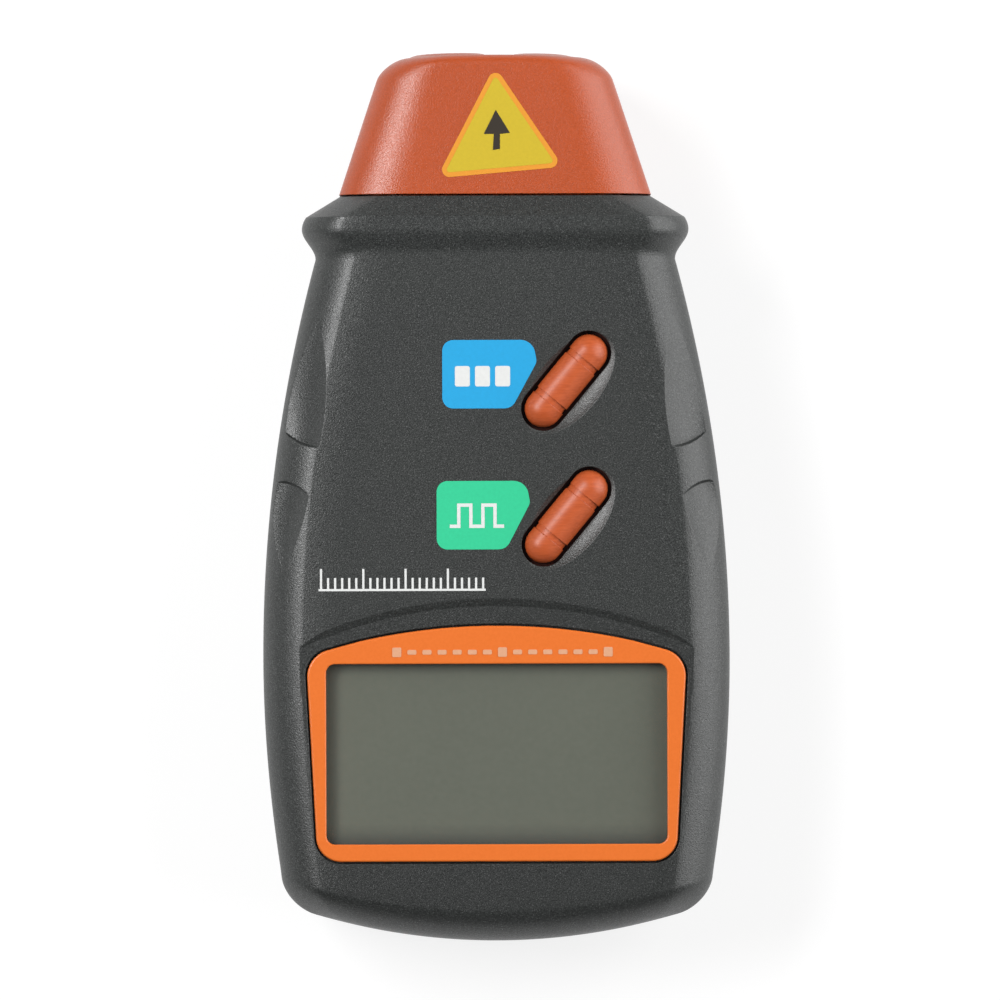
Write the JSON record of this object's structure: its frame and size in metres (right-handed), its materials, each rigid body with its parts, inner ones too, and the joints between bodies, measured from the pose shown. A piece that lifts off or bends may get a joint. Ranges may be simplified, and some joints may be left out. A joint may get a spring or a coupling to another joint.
{
  "type": "laser tachometer",
  "caption": "Hand-held laser tachometer with a tapered nose, a blank display in a border, two capsule buttons, side finger scoops and a sliding battery door.",
  "frame": {"origin": "middle of the length and width, on the surface that the flat back lies on", "axes": "+Z out of the front face, +Y towards the nose, +X to the right of someone reading the display"},
  "size_m": [0.0688, 0.131, 0.029],
  "materials": {
    "housing": "fine moulded grain",
    "nose": "fine moulded grain",
    "bezel": "satin",
    "window": "clear, polished",
    "lcd": "unlit display glass",
    "light_plastic": "natural white",
    "contact_rubber": "layered contact rubber",
    "button": "smooth moulded",
    "dark_plastic": "black moulded",
    "circuit_board": "solder mask",
    "steel": "plated",
    "sleeve": "shrink sleeve",
    "dark_lens": "infrared black resin",
    "lens": "polished",
    "brass": "turned",
    "battery_can": "printed can",
    "red_insulation": "wire insulation",
    "black_insulation": "wire insulation"
  },
  "bodies": {
    "case": {"front_housing": "housing", "back_housing": "housing", "nose_cap": "nose", "display_border": "bezel", "display_lens": "window", "lcd_panel": "lcd", "lcd_carrier": "light_plastic", "zebra_strip_upper": "contact_rubber", "zebra_strip_lower": "contact_rubber", "memory_switch": "dark_plastic", "test_switch": "dark_plastic", "main_board": "circuit_board", "sensor_board": "circuit_board", "microcontroller": "dark_plastic", "pin_header": "dark_plastic", "crystal": "steel", "capacitor": "sleeve", "receiver_tube": "dark_plastic", "photodiode": "dark_lens", "receiver_lens": "lens", "laser_barrel": "brass", "laser_lens": "lens", "battery": "battery_can", "battery_snap": "dark_plastic", "red_lead": "red_insulation", "black_lead": "black_insulation", "case_screw_1": "steel", "case_screw_2": "steel", "case_screw_3": "steel", "case_screw_4": "steel", "board_screw_1": "steel", "board_screw_2": "steel", "board_screw_3": "steel", "board_screw_4": "steel"},
    "memory_key": {"memory_button": "button"},
    "test_key": {"test_button": "button"},
    "memory_contact": {"memory_plunger": "light_plastic"},
    "test_contact": {"test_plunger": "light_plastic"},
    "door": {"battery_door": "housing"}
  },
  "joints": [
    {"name": "memory_press", "type": "slide", "parent": "case", "child": "memory_key", "axis": [0, 0, -1], "range_m": [0, 0.0005], "stiffness_N_per_m": 900, "springref_m": -0.0003},
    {"name": "test_press", "type": "slide", "parent": "case", "child": "test_key", "axis": [0, 0, -1], "range_m": [0, 0.0005], "stiffness_N_per_m": 900, "springref_m": -0.0003},
    {"name": "memory_plunge", "type": "slide", "parent": "case", "child": "memory_contact", "axis": [0, 0, -1], "range_m": [0, 0.00025]},
    {"name": "test_plunge", "type": "slide", "parent": "case", "child": "test_contact", "axis": [0, 0, -1], "range_m": [0, 0.00025]},
    {"name": "door_slide", "type": "slide", "parent": "case", "child": "door", "axis": [0, -1, 0], "range_m": [0, 0.06]}
  ],
  "couplings": [
    {"joint": "memory_plunge", "follows": "memory_press", "ratio": 0.5},
    {"joint": "test_plunge", "follows": "test_press", "ratio": 0.5}
  ]
}
